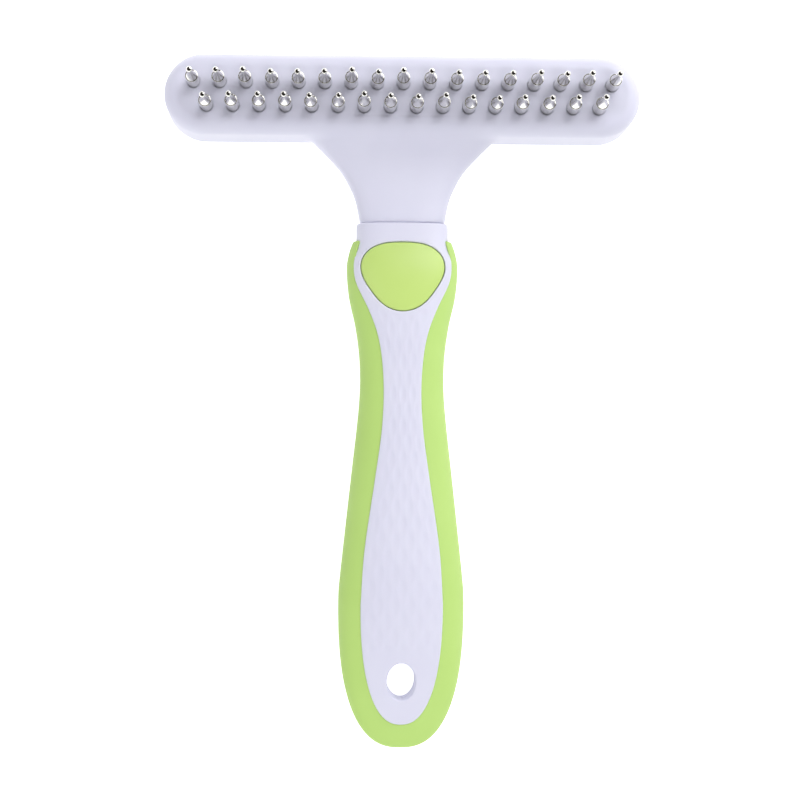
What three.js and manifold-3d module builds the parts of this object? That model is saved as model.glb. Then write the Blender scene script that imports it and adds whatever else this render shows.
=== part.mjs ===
// Deshedding rake for pets: a cross bar with two staggered rows of spinning steel pins, on a head
// that plugs into a soft-sided handle and is let go by a push button.
//
// Frame, in millimetres: the tool lies on its back with the pins up. +X runs along the cross bar,
// +Y runs from the handle's end towards the head, +Z is up. The origin is the middle of the
// footprint, on the surface that the tool lies on.
import * as THREE from "three";
import { mergeVertices } from "three/addons/utils/BufferGeometryUtils.js";
import { ParametricGeometry } from "three/addons/geometries/ParametricGeometry.js";
import Module from "manifold-3d";

const wasm = await Module();
wasm.setup();

// ---- Driving dimensions ---------------------------------------------------------------------

const LENGTH = 186.4; // whole tool, end to end
const GAP = 0.3; // play between neighbouring pieces
const FAR = 300; // longer than the tool, for cutting tools that have to reach past it

// Cross bar
const BAR_WIDTH = 128.8;
const BAR_HEIGHT = 22.1; // along Y
const BAR_FACE_Z = 15; // the face that the pins stand on
const BAR_BACK_Z = 0.2;
const BAR_EDGE = 4; // rounding of the face's edge
const BAR_WALL = 2.4;
const FACE_THICKNESS = 2.5;
const BAR_MID_Y = LENGTH / 2 - BAR_HEIGHT / 2;

// Pins
const PIN_PITCH = 7;
const UPPER_ROW = { letter: "a", count: 17, y: 84.8 };
const LOWER_ROW = { letter: "b", count: 16, y: 78.5 };
const PIN_RADIUS = 1.7;
const PIN_NECK_RADIUS = 0.65;
const PIN_BALL_RADIUS = 0.82;
const PIN_BALL_CAP = { radius: 0.5, drop: 0.15 }; // the small flat that ends the ball
const PIN_FLANGE_RADIUS = 2.5;
const PIN_FLANGE_THICKNESS = 1.2;
const PIN_SHOULDER_Z = 21.7; // the foot's cone starts here
const PIN_CONE_TOP_Z = 22.9;
const PIN_TIP_Z = 30;
const PIN_SIDES = 8;
const PIN_PLAY = 0.1; // radial, in the pin's hole
const HOLE_SIDES = 10;

// Pin retainer and back cover
const RETAINER_THICKNESS = 2;
const COVER_THICKNESS = 2.2;
const COVER_INSET = 1.5;
const COVER_RIB = { length: 104, width: 1.6, y: 5 };

// Neck, from the handle's collar up to the bar: [y, half width] and [y, z]
const SEAM_Y = 47.9;
const NECK_TOP_Y = 74; // inside the bar
const NECK_WIDTHS = [
  [SEAM_Y, 11.4], [54, 12.7], [58.2, 14.4], [62.5, 17], [66.8, 20.9], [71, 25.2], [NECK_TOP_Y, 28],
];
const NECK_FRONT = [[SEAM_Y, 13.4], [58, 12.6], [65.5, 12], [68, 12.4], [71.5, 13.8], [NECK_TOP_Y, 14.4]];
const NECK_BACK = [[SEAM_Y, 2.7], [60, 1.8], [71, 0.8], [NECK_TOP_Y, 0.6]];
const NECK_POWER = 3;

// Tang: the forked tongue of the head that goes into the handle
const TANG = { width: 16.4, end_y: 16, top_z: 10.3, bottom_z: 5.9, thin_z: 7.7, root_y: 40 };
const TANG_SLOT_WIDTH = 9.2;
const CATCH = { y: 32.8, length: 2.6, bottom_z: 6 };

// Handle: half widths and the heights of its front and back, [y, value]
const COLLAR_TOP_Y = 47.6;
const COLLAR_MID_Y = 45.5;
const COLLAR_HALF_WIDTH = 12.4;
const CORE_TOP_Y = 44; // the core reaches a little way into the collar
const GRIP_TOP_Y = 42.9;
const GRIP_THICKNESS = 1.6;
const HANDLE_END_Y = -LENGTH / 2;
const HANDLE_WIDTHS = [
  [GRIP_TOP_Y, 13.3], [40, 14.3], [36, 14.95], [28, 14.35], [20, 12.6], [12, 11.5], [4, 11.25],
  [-4, 11.75], [-20, 13.5], [-36, 15.25], [-50, 16.7], [-54, 16.85],
];
const HANDLE_FRONT = [
  [COLLAR_TOP_Y, 14.2], [GRIP_TOP_Y, 15.3], [34, 17.2], [22, 17.4], [5, 17], [-15, 17.8], [-40, 18.8],
  [-52, 18.2], [-64, 16.2], [-76, 13.7], [-88, 11], [HANDLE_END_Y, 10.4],
];
const HANDLE_BACK = [
  [COLLAR_TOP_Y, 1.9], [GRIP_TOP_Y, 1.2], [34, 0.3], [22, 0.5], [5, 1], [-15, 0.5], [-40, 0],
  [-52, 0.2], [-64, 1.2], [-76, 2.6], [-88, 4], [HANDLE_END_Y, 4.4],
];
const HANDLE_POWER = 2.4;
const HANDLE_ROUND = { from_y: -54, power: 2.5, height_power: 8 }; // the rounded end
const END_STEP = 0.01; // the last section stands this far before the end

// White panel that the green band leaves open, on the front and on the back
const PANEL_WIDTHS = [
  [CORE_TOP_Y, 11.4], [GRIP_TOP_Y, 11.6], [38, 12.9], [34, 13], [30.5, 12.1], [24.4, 9.2], [18, 6.8],
  [11, 5.5], [2, 5], [-8, 5.5], [-20, 7.1], [-40, 9.95], [-54, 10.9],
];
const PANEL_ROUND = { from_y: -54, end_y: -86.6, power: 2.35 };

// Inside of the handle
const PARTING_Z = 8.3;
const SHELL_WALL = 2.2;
const HOLLOW = { top_y: 12, end_y: -64 };
const HANG_HOLE = { y: -74.4, half_width: 3.85, half_length: 4.9 };
const LATCH_ROOM = 0.5; // free space round the latch
const SPRING_ROOM = 1.2; // and round the spring

// Release button, a rounded triangle that points down the handle, and what it works
const BUTTON = { y: 33.7, half_width: 10.9, half_length: 9.25, corner: 0.084 };
const BUTTON_BASE_Z = 12.8;
const BUTTON_TOP_Z = 18.2;
const BUTTON_EDGE = 0.9; // rounding of its top edge
const BUTTON_RIM = { out: 0.9, top_z: 13.8 };
const WELL_OUT = 1.3;
const WELL_FLOOR_Z = 10.2;
const WELL_TOP_Z = 14.1;
const LATCH = {
  y: 37, length: 2.6, half_width: 8.2, tooth_width: 3, stem: 3, bottom_z: 4.2, top_z: 5.7, tooth_z: 7.4,
};
const BACK_FLOOR_Z = 1.7;
const SPRING = { y: 29.5, radius: 3, wire: 0.35, turns: 5, bottom_z: 2.6 };

// Fineness: how many flats or sections each form has
const FLATS = { neck: 20, handle: 24, spring_room: 12, hang_hole: 8, bevel: 3, wire: 3, coil_turn: 12 };
const SECTIONS = { neck: 9, handle: 16, handle_end: 8, panel: 20, panel_end: 7 };

// ---- Colours ---------------------------------------------------------------------------------

const plastic = new THREE.MeshStandardMaterial({ color: 0xe6e5f0, roughness: 0.45, metalness: 0 });
const innerPlastic = new THREE.MeshStandardMaterial({ color: 0xcfd0d6, roughness: 0.6, metalness: 0 });
const softGreen = new THREE.MeshStandardMaterial({ color: 0xbfe37c, roughness: 0.6, metalness: 0 });
const buttonGreen = new THREE.MeshStandardMaterial({ color: 0xc9ec83, roughness: 0.25, metalness: 0 });
const pinSteel = new THREE.MeshStandardMaterial({ color: 0xd4d2cc, roughness: 0.15, metalness: 1 });
const springSteel = new THREE.MeshStandardMaterial({ color: 0xa8a8a8, roughness: 0.35, metalness: 1 });

// ---- Solids ----------------------------------------------------------------------------------

// A closed three.js geometry as a solid.
function solidOf(geometry) {
  const bare = geometry.clone();
  bare.deleteAttribute("normal");
  bare.deleteAttribute("uv");
  const merged = mergeVertices(bare, 1e-4);
  const corners = merged.index.array;
  const kept = [];
  for (let i = 0; i < corners.length; i += 3) {
    const [a, b, c] = corners.slice(i, i + 3);
    if (a !== b && b !== c && c !== a) kept.push(a, b, c);
  }
  return new wasm.Manifold(
    new wasm.Mesh({
      numProp: 3,
      vertProperties: merged.attributes.position.array,
      triVerts: new Uint32Array(kept),
    }),
  );
}

// A solid as a named mesh.
function meshOf(name, solid, material) {
  const made = solid.getMesh();
  const geometry = new THREE.BufferGeometry();
  geometry.setAttribute("position", new THREE.BufferAttribute(made.vertProperties, 3));
  geometry.setIndex(new THREE.BufferAttribute(made.triVerts, 1));
  geometry.computeVertexNormals();
  const mesh = new THREE.Mesh(geometry, material);
  mesh.name = name;
  return mesh;
}

// The box from one corner to the other.
function block([x0, y0, z0], [x1, y1, z1]) {
  const geometry = new THREE.BoxGeometry(x1 - x0, y1 - y0, z1 - z0);
  geometry.translate((x0 + x1) / 2, (y0 + y1) / 2, (z0 + z1) / 2);
  return solidOf(geometry);
}

// A round bar that stands up, with its flats outside the given radius.
function rod(x, y, radius, z0, z1, sides) {
  const geometry = new THREE.CylinderGeometry(radius, radius, z1 - z0, sides);
  geometry.rotateX(Math.PI / 2);
  geometry.translate(x, y, (z0 + z1) / 2);
  return solidOf(geometry);
}

// A flat outline pulled up from z0 to z1, with its edges rounded by the given amount.
function prism(outline, z0, z1, edge = 0, curveSegments = 10) {
  const geometry = new THREE.ExtrudeGeometry(outline, {
    depth: z1 - z0 - 2 * edge,
    bevelEnabled: edge > 0,
    bevelThickness: edge,
    bevelSize: edge,
    bevelOffset: -edge,
    bevelSegments: FLATS.bevel,
    curveSegments,
  });
  geometry.translate(0, 0, z0 + edge);
  return solidOf(geometry);
}

// The smooth curve through [y, value] points, which run from high y to low or from low to high.
function along(points, y) {
  const row = points[0][0] < points[points.length - 1][0] ? points : [...points].reverse();
  if (y <= row[0][0]) return row[0][1];
  if (y >= row[row.length - 1][0]) return row[row.length - 1][1];
  const i = row.findIndex((point) => point[0] > y) - 1;
  const slope = (k) => {
    const low = row[Math.max(k - 1, 0)];
    const high = row[Math.min(k + 1, row.length - 1)];
    return (high[1] - low[1]) / (high[0] - low[0]);
  };
  const span = row[i + 1][0] - row[i][0];
  const t = (y - row[i][0]) / span;
  const rise = row[i + 1][1] - row[i][1];
  const m0 = slope(i) * span;
  const m1 = slope(i + 1) * span;
  return row[i][1] + m0 * t + (3 * rise - 2 * m0 - m1) * t * t + (m0 + m1 - 2 * rise) * t ** 3;
}

// How much of its full size a form keeps as it closes in a superellipse.
function closing(y, from, to, power) {
  const t = Math.min(Math.max((y - from) / (to - from), 0), 1);
  return (1 - t ** power) ** (1 / power);
}

// A closed body along Y. sectionAt(y) gives its half width, its lowest and its highest z, and the
// sections are superellipses of the given power.
function loft(stations, sectionAt, power, sides) {
  const rows = stations.length + 1;
  const point = (u, v, target) => {
    const row = Math.round(v * rows);
    const y = stations[Math.min(Math.max(row - 1, 0), stations.length - 1)];
    const { half, low, high } = sectionAt(y);
    const size = row === 0 || row === rows ? 0 : 1;
    const turn = Math.round(u * sides) * ((2 * Math.PI) / sides);
    const bend = (value) => Math.sign(value) * Math.abs(value) ** (2 / power);
    const x = Math.abs(Math.cos(turn)) < 1e-9 ? 0 : half * bend(Math.cos(turn));
    const z = Math.abs(Math.sin(turn)) < 1e-9 ? 0 : ((high - low) / 2) * bend(Math.sin(turn));
    target.set(size * x, y, (low + high) / 2 + size * z);
  };
  return solidOf(new ParametricGeometry(point, sides, rows));
}

// Evenly spaced numbers from one value to another.
function steps(from, to, count) {
  return Array.from({ length: count + 1 }, (_, i) => from + ((to - from) * i) / count);
}

// Everything on the handle's side of y.
const below = (y) => block([-FAR, -FAR, -FAR], [FAR, y, FAR]);

// ---- Outlines --------------------------------------------------------------------------------

// The bar's long round-ended outline, drawn in by inset.
function barOutline(inset) {
  const radius = BAR_HEIGHT / 2 - inset;
  const arm = BAR_WIDTH / 2 - BAR_HEIGHT / 2;
  const shape = new THREE.Shape();
  shape.absarc(arm, BAR_MID_Y, radius, -Math.PI / 2, Math.PI / 2, false);
  shape.absarc(-arm, BAR_MID_Y, radius, Math.PI / 2, (3 * Math.PI) / 2, false);
  shape.closePath();
  return shape;
}

// The button's rounded triangle, grown by out.
function buttonOutline(out, points = 30) {
  const shape = new THREE.Shape();
  for (let i = 0; i < points; i++) {
    const turn = (2 * Math.PI * i) / points;
    const reach = 1 + BUTTON.corner * Math.cos(3 * (turn + Math.PI / 2));
    const x = (BUTTON.half_width + out) * reach * Math.cos(turn);
    const y = BUTTON.y + (BUTTON.half_length + out) * reach * Math.sin(turn);
    if (i === 0) shape.moveTo(x, y);
    else shape.lineTo(x, y);
  }
  shape.closePath();
  return shape;
}

// Half the panel's width at y.
function panelHalfWidth(y) {
  const round = closing(y, PANEL_ROUND.from_y, PANEL_ROUND.end_y, PANEL_ROUND.power);
  return along(PANEL_WIDTHS, y) * round;
}

// The white panel's outline, grown by out.
function panelOutline(out) {
  const turns = steps(0, Math.PI / 2, SECTIONS.panel_end);
  const span = PANEL_ROUND.from_y - PANEL_ROUND.end_y;
  const ys = [
    ...steps(CORE_TOP_Y, PANEL_ROUND.from_y, SECTIONS.panel),
    ...turns.slice(1, -1).map((turn) => PANEL_ROUND.from_y - span * Math.sin(turn)),
  ];
  const right = ys.map((y) => new THREE.Vector2(panelHalfWidth(y) + out, y));
  const left = ys.map((y) => new THREE.Vector2(-panelHalfWidth(y) - out, y)).reverse();
  const tip = new THREE.Vector2(0, PANEL_ROUND.end_y - out);
  return new THREE.Shape([...right, tip, ...left]);
}

// The hang hole's outline.
function hangHoleOutline() {
  const shape = new THREE.Shape();
  shape.absellipse(0, HANG_HOLE.y, HANG_HOLE.half_width, HANG_HOLE.half_length, 0, 2 * Math.PI);
  return shape;
}

// ---- Head ------------------------------------------------------------------------------------

// [x, y] of each pin of a row, from left to right.
function pinPlaces(row) {
  return Array.from({ length: row.count }, (_, i) => [(i - (row.count - 1) / 2) * PIN_PITCH, row.y]);
}

// A pin: flange under the face, stout foot with a conical shoulder, thin neck and a ball at the tip.
function makePin() {
  const flangeTop = BAR_FACE_Z - FACE_THICKNESS - GAP;
  const profile = [
    [0, flangeTop - PIN_FLANGE_THICKNESS],
    [PIN_FLANGE_RADIUS, flangeTop - PIN_FLANGE_THICKNESS],
    [PIN_FLANGE_RADIUS, flangeTop],
    [PIN_RADIUS, flangeTop],
    [PIN_RADIUS, PIN_SHOULDER_Z],
    [PIN_NECK_RADIUS, PIN_CONE_TOP_Z],
    [PIN_NECK_RADIUS, PIN_TIP_Z - 2 * PIN_BALL_RADIUS],
    [PIN_BALL_RADIUS, PIN_TIP_Z - PIN_BALL_RADIUS],
    [PIN_BALL_CAP.radius, PIN_TIP_Z - PIN_BALL_CAP.drop],
    [0, PIN_TIP_Z],
  ];
  const geometry = new THREE.LatheGeometry(
    profile.map(([radius, z]) => new THREE.Vector2(radius, z)),
    PIN_SIDES,
  );
  geometry.rotateX(Math.PI / 2);
  return solidOf(geometry);
}

// Both rows of pins, each pin its own mesh.
function makePins() {
  const pin = makePin();
  return [UPPER_ROW, LOWER_ROW].flatMap((row) =>
    pinPlaces(row).map(([x, y], i) => {
      const mesh = meshOf(`pin_${row.letter}${String(i + 1).padStart(2, "0")}`, pin, pinSteel);
      mesh.position.set(x, y, 0);
      return mesh;
    }),
  );
}

// The tongue that plugs into the handle: two prongs, each with a catch on its underside.
function makeTang() {
  const half = TANG.width / 2;
  const prongs = block([-half, TANG.end_y, TANG.thin_z], [half, SEAM_Y + 2, TANG.top_z]);
  const root = block([-half, TANG.root_y, TANG.bottom_z], [half, SEAM_Y + 2, TANG.top_z]);
  const catches = block([-half, CATCH.y, CATCH.bottom_z], [half, CATCH.y + CATCH.length, TANG.top_z]);
  const slot = block([-TANG_SLOT_WIDTH / 2, 0, 0], [TANG_SLOT_WIDTH / 2, TANG.root_y, FAR]);
  return prongs.add(root).add(catches).subtract(slot);
}

// The waisted neck between the bar and the handle.
function makeNeck() {
  const section = (y) => ({
    half: along(NECK_WIDTHS, y),
    low: along(NECK_BACK, y),
    high: along(NECK_FRONT, y),
  });
  return loft(steps(NECK_TOP_Y, SEAM_Y, SECTIONS.neck), section, NECK_POWER, FLATS.neck);
}

// The head's moulding: bar, neck and tang in one, open at the back, with a hole for each pin.
function makeHeadShell() {
  const bar = prism(barOutline(0), BAR_BACK_Z - BAR_EDGE, BAR_FACE_Z, BAR_EDGE);
  let shell = bar.intersect(block([-FAR, 0, BAR_BACK_Z], [FAR, FAR, FAR])).add(makeNeck()).add(makeTang());
  shell = shell.subtract(prism(barOutline(BAR_WALL), -1, BAR_FACE_Z - FACE_THICKNESS));
  shell = shell.subtract(prism(barOutline(COVER_INSET - GAP), -1, COVER_THICKNESS + GAP));
  const hole = (PIN_RADIUS + PIN_PLAY) / Math.cos(Math.PI / HOLE_SIDES);
  for (const [x, y] of [...pinPlaces(UPPER_ROW), ...pinPlaces(LOWER_ROW)])
    shell = shell.subtract(rod(x, y, hole, BAR_FACE_Z - 2 * FACE_THICKNESS, BAR_FACE_Z + 1, HOLE_SIDES));
  return meshOf("head_shell", shell, plastic);
}

// The plate that keeps the pins' flanges against the face.
function makePinRetainer() {
  const top = BAR_FACE_Z - FACE_THICKNESS - PIN_FLANGE_THICKNESS - 2 * GAP;
  const plate = prism(barOutline(BAR_WALL + GAP), top - RETAINER_THICKNESS, top);
  return meshOf("pin_retainer", plate, innerPlastic);
}

// The cover let into the bar's back, with two ribs that press on the retainer.
function makeHeadBackCover() {
  const { length, width, y } = COVER_RIB;
  const retainerTop = BAR_FACE_Z - FACE_THICKNESS - PIN_FLANGE_THICKNESS - 2 * GAP;
  const ribTop = retainerTop - RETAINER_THICKNESS - GAP;
  let cover = prism(barOutline(COVER_INSET), 0, COVER_THICKNESS);
  for (const side of [-1, 1]) {
    const middle = BAR_MID_Y + side * y;
    const rib = block([-length / 2, middle - width / 2, 1], [length / 2, middle + width / 2, ribTop]);
    cover = cover.add(rib);
  }
  return meshOf("head_back_cover", cover, plastic);
}

// ---- Handle ----------------------------------------------------------------------------------

// The handle's section at y, grown by out.
function handleSection(y, out) {
  const { from_y, power, height_power } = HANDLE_ROUND;
  const half = along(HANDLE_WIDTHS, y) * closing(y, from_y, HANDLE_END_Y, power);
  const front = along(HANDLE_FRONT, y);
  const back = along(HANDLE_BACK, y);
  const middle = (front + back) / 2;
  const thick = ((front - back) / 2) * closing(y, from_y, HANDLE_END_Y, height_power);
  return { half: half + out, low: middle - thick - out, high: middle + thick + out };
}

// The handle's whole outer form, grown by out (or shrunk, where out is below nothing).
function handleForm(out, topY) {
  const span = HANDLE_ROUND.from_y - HANDLE_END_Y;
  const turns = steps(0, Math.PI / 2, SECTIONS.handle_end).slice(1, -1);
  const ends = turns.map((turn) => HANDLE_ROUND.from_y - span * Math.sin(turn));
  const section = (y) => handleSection(y, y < ends[ends.length - 1] ? Math.min(out, 0) : out);
  const trunk = steps(topY, HANDLE_ROUND.from_y, SECTIONS.handle);
  const form = loft([...trunk, ...ends, HANDLE_END_Y + END_STEP], section, HANDLE_POWER, FLATS.handle);
  return out < 0 ? form.subtract(below(HANDLE_END_Y - out)) : form;
}

// The plain collar that the neck meets.
function makeCollar() {
  const section = (y) => ({
    half: COLLAR_HALF_WIDTH,
    low: along(HANDLE_BACK, y),
    high: along(HANDLE_FRONT, y),
  });
  return loft([COLLAR_TOP_Y, COLLAR_MID_Y, GRIP_TOP_Y + GAP], section, NECK_POWER, FLATS.handle);
}

// The spaces inside the handle: the tang's channel, the latch's and spring's room and the hollow.
function handleSpaces() {
  const half = TANG.width / 2 + GAP;
  const channel = block(
    [-half, TANG.end_y - 1, TANG.bottom_z - GAP],
    [half, FAR, TANG.top_z + GAP],
  );
  const latchRoom = block(
    [-LATCH.half_width - LATCH_ROOM, LATCH.y - LATCH.length / 2 - LATCH_ROOM, BACK_FLOOR_Z],
    [LATCH.half_width + LATCH_ROOM, LATCH.y + LATCH.length / 2 + LATCH_ROOM, TANG.top_z],
  );
  const springHalf = SPRING.radius + SPRING_ROOM;
  const springRoom = rod(0, SPRING.y, springHalf, SPRING.bottom_z - GAP, TANG.top_z, FLATS.spring_room);
  const inside = handleForm(-GRIP_THICKNESS - GAP - SHELL_WALL, HOLLOW.top_y);
  return channel.add(latchRoom).add(springRoom).add(inside.subtract(below(HOLLOW.end_y)));
}

// The white body of the handle before it is parted into a front and a back.
function makeHandleBody() {
  const panel = handleForm(0, GRIP_TOP_Y).intersect(prism(panelOutline(-GAP), -1, FAR));
  const core = handleForm(-GRIP_THICKNESS - GAP, CORE_TOP_Y);
  let body = core.add(panel).add(makeCollar());
  body = body.subtract(handleSpaces());
  return body.subtract(prism(hangHoleOutline(), -1, FAR, 0, FLATS.hang_hole));
}

// The front shell, with the button's window and the wider well under it.
function makeHandleFrontShell(body) {
  const front = body
    .intersect(block([-FAR, -FAR, PARTING_Z + GAP / 2], [FAR, FAR, FAR]))
    .subtract(prism(buttonOutline(GAP), WELL_FLOOR_Z, FAR))
    .subtract(prism(buttonOutline(WELL_OUT), WELL_FLOOR_Z, WELL_TOP_Z));
  return meshOf("handle_front_shell", front, plastic);
}

// The back shell, with the same panel and no button.
function makeHandleBackShell(body) {
  const back = body.intersect(block([-FAR, -FAR, -FAR], [FAR, FAR, PARTING_Z - GAP / 2]));
  return meshOf("handle_back_shell", back, plastic);
}

// The green band round both sides and the end.
function makeSoftGrip() {
  const band = handleForm(0, GRIP_TOP_Y)
    .subtract(handleForm(-GRIP_THICKNESS, CORE_TOP_Y))
    .subtract(prism(panelOutline(0), -1, FAR));
  return meshOf("soft_grip", band, softGreen);
}

// ---- Button, latch and spring ----------------------------------------------------------------

// The domed button, with a rim that keeps it under the front shell.
function makeReleaseButton() {
  const dome = prism(buttonOutline(0), BUTTON_BASE_Z, BUTTON_TOP_Z, BUTTON_EDGE);
  const square = prism(buttonOutline(0), BUTTON_BASE_Z, BUTTON_TOP_Z - 2 * BUTTON_EDGE);
  const rim = prism(buttonOutline(BUTTON_RIM.out), BUTTON_BASE_Z, BUTTON_RIM.top_z);
  return meshOf("release_button", dome.add(square).add(rim), buttonGreen);
}

// The latch on the button's underside. Its stem drops between the tang's prongs, and the two teeth
// of its cross bar stand up behind the catches.
function makeLatch() {
  const { y, length, half_width, tooth_width, bottom_z, top_z, tooth_z, stem } = LATCH;
  const stemTop = BUTTON_BASE_Z - GAP;
  const right = [
    [half_width, bottom_z], [half_width, tooth_z], [half_width - tooth_width, tooth_z],
    [half_width - tooth_width, top_z], [stem, top_z], [stem, stemTop],
  ];
  const left = right.map(([x, z]) => [-x, z]).reverse();
  const outline = new THREE.Shape([...right, ...left].map(([x, z]) => new THREE.Vector2(x, z)));
  const geometry = new THREE.ExtrudeGeometry(outline, { depth: length, bevelEnabled: false });
  geometry.rotateX(Math.PI / 2);
  geometry.translate(0, y + length / 2, 0);
  return meshOf("latch", solidOf(geometry), innerPlastic);
}

// The coil under the button.
class Helix extends THREE.Curve {
  getPoint(t, target = new THREE.Vector3()) {
    const turn = 2 * Math.PI * SPRING.turns * t;
    const low = SPRING.bottom_z + SPRING.wire;
    const high = BUTTON_BASE_Z - GAP - SPRING.wire;
    return target.set(
      SPRING.radius * Math.cos(turn),
      SPRING.y + SPRING.radius * Math.sin(turn),
      low + (high - low) * t,
    );
  }
}

function makeButtonSpring() {
  const wire = new THREE.Shape();
  wire.absarc(0, 0, SPRING.wire, 0, 2 * Math.PI);
  const coil = new THREE.ExtrudeGeometry(wire, {
    extrudePath: new Helix(),
    steps: FLATS.coil_turn * SPRING.turns,
    curveSegments: FLATS.wire,
    bevelEnabled: false,
  });
  return meshOf("button_spring", solidOf(coil), springSteel);
}

// ---- Assembly --------------------------------------------------------------------------------

const head = new THREE.Group();
head.add(makeHeadShell(), makePinRetainer(), makeHeadBackCover(), ...makePins());

const handleBody = makeHandleBody();
const handle = new THREE.Group();
handle.add(makeHandleFrontShell(handleBody), makeHandleBackShell(handleBody), makeSoftGrip());

const release = new THREE.Group();
release.add(makeReleaseButton(), makeLatch(), makeButtonSpring());

const rake = new THREE.Group();
rake.add(head, handle, release);

export default rake;
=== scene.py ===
"""Looks of the deshedding rake: moulded head, spinning steel pins, two-colour handle and push button.

Moulded pieces are described as signed distance fields in millimetres, in the frame's own axes, and
turned into fine quad meshes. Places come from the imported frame. The curves of the handle and the neck
repeat the design's own.
"""
import math
import random

import bpy
import numpy as np
from mathutils import Matrix, Vector


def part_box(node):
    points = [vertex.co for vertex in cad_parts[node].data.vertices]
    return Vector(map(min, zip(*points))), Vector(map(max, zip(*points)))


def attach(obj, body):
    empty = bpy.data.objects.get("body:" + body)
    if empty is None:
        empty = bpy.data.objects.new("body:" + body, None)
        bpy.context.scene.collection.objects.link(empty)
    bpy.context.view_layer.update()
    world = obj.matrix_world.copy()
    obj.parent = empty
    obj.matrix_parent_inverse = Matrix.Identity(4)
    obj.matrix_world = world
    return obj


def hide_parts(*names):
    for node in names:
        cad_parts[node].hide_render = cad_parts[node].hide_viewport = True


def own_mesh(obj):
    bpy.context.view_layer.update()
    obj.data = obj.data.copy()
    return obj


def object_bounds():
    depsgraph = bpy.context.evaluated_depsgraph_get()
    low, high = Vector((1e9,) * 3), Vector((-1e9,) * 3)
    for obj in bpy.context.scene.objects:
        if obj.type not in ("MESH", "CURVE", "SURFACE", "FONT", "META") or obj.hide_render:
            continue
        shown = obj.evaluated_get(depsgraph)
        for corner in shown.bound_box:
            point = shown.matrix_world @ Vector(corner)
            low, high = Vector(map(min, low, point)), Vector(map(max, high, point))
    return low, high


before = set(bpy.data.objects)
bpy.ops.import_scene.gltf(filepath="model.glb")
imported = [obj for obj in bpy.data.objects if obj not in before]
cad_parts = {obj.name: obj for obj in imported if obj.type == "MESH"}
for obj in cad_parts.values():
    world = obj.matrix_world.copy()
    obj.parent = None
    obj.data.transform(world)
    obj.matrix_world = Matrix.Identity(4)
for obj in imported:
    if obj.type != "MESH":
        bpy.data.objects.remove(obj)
cad_box = [list(corner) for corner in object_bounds()]

MM = 0.001
TINY = 1e-12  # keeps a root clear of zero
random.seed(7)


# ---- Places and sizes, in millimetres --------------------------------------------------------

def span(node):
    """Lowest and highest corner of a CAD node, in millimetres."""
    low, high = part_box(node)
    return np.array(low) / MM, np.array(high) / MM


PINS = {name: span(name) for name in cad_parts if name.startswith("pin_") and name[4] in "ab"}
PIN_PLACES = {name: tuple((low[:2] + high[:2]) / 2) for name, (low, high) in PINS.items()}
UPPER_Y = PIN_PLACES["pin_a01"][1]
LOWER_Y = PIN_PLACES["pin_b01"][1]
UPPER_REACH = -PIN_PLACES["pin_a01"][0]
LOWER_REACH = -PIN_PLACES["pin_b01"][0]
PIN_PITCH = PIN_PLACES["pin_a02"][0] - PIN_PLACES["pin_a01"][0]
PIN_FOOT_Z = PINS["pin_a01"][0][2]
PIN_TIP_Z = PINS["pin_a01"][1][2]

HEAD_LOW, HEAD_HIGH = span("head_shell")
FACE_Z = HEAD_HIGH[2]
BAR_HALF_WIDTH = HEAD_HIGH[0]
BAR_TOP_Y = HEAD_HIGH[1]
BAR_RADIUS = 11.05
BAR_MID_Y = BAR_TOP_Y - BAR_RADIUS
COVER_TOP_Z = 2.2

HANDLE_END_Y = cad_box[0][1] / MM
COLLAR_TOP_Y = span("handle_front_shell")[1][1]
GRIP_TOP_Y = span("soft_grip")[1][1]
SEAM_Y = COLLAR_TOP_Y + 0.3
PARTING_Z = (span("handle_front_shell")[0][2] + span("handle_back_shell")[1][2]) / 2
BUTTON_LOW, BUTTON_HIGH = span("release_button")
SPRING_LOW, SPRING_HIGH = span("button_spring")

# The design's curves: (y, value)
HANDLE_WIDTHS = [
    (42.9, 13.3), (40, 14.3), (36, 14.95), (28, 14.35), (20, 12.6), (12, 11.5), (4, 11.25),
    (-4, 11.75), (-20, 13.5), (-36, 15.25), (-50, 16.7), (-54, 16.85),
]
HANDLE_FRONT = [
    (47.6, 14.2), (42.9, 15.3), (34, 17.2), (22, 17.4), (5, 17), (-15, 17.8), (-40, 18.8),
    (-52, 18.2), (-64, 16.2), (-76, 13.7), (-88, 11), (-93.2, 10.4),
]
HANDLE_BACK = [
    (47.6, 1.9), (42.9, 1.2), (34, 0.3), (22, 0.5), (5, 1), (-15, 0.5), (-40, 0),
    (-52, 0.2), (-64, 1.2), (-76, 2.6), (-88, 4), (-93.2, 4.4),
]
PANEL_WIDTHS = [
    (44, 11.4), (42.9, 11.6), (38, 12.9), (34, 13), (30.5, 12.1), (24.4, 9.2), (18, 6.8),
    (11, 5.5), (2, 5), (-8, 5.5), (-20, 7.1), (-40, 9.95), (-54, 10.9),
]
NECK_WIDTHS = [(47.9, 11.4), (54, 12.7), (58.2, 14.4), (62.5, 17), (66.8, 20.9), (71, 25.2), (74, 28.5)]
NECK_FRONT = [(47.9, 13.4), (58, 12.6), (65.5, 12), (68, 12.4), (71.5, 13.8), (74, 14.4)]
NECK_BACK = [(47.9, 2.7), (60, 1.8), (71, 0.8), (74, 0.6)]
ROUND_FROM_Y = -54  # handle and panel close in below here
PANEL_END_Y = -86.6
HANDLE_ROUND = 2.5  # powers of the superellipses that close the two outlines
PANEL_ROUND = 2.35
HANDLE_POWER = 2.4  # powers of the sections
COLLAR_POWER = 3
END_FULLNESS = 2.6  # added to the section's power at the handle's end, so that it stays thick
COLLAR_HALF_WIDTH = 12.4
RAISE = 0.35  # the white panels stand this far out of the green band
HANG_HOLE = {"y": -74.8, "half_width": 3.8, "half_length": 5.0}
BUTTON = {"y": 33.7, "half_width": 10.9, "half_length": 9.25, "corner": 0.084}


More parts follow.
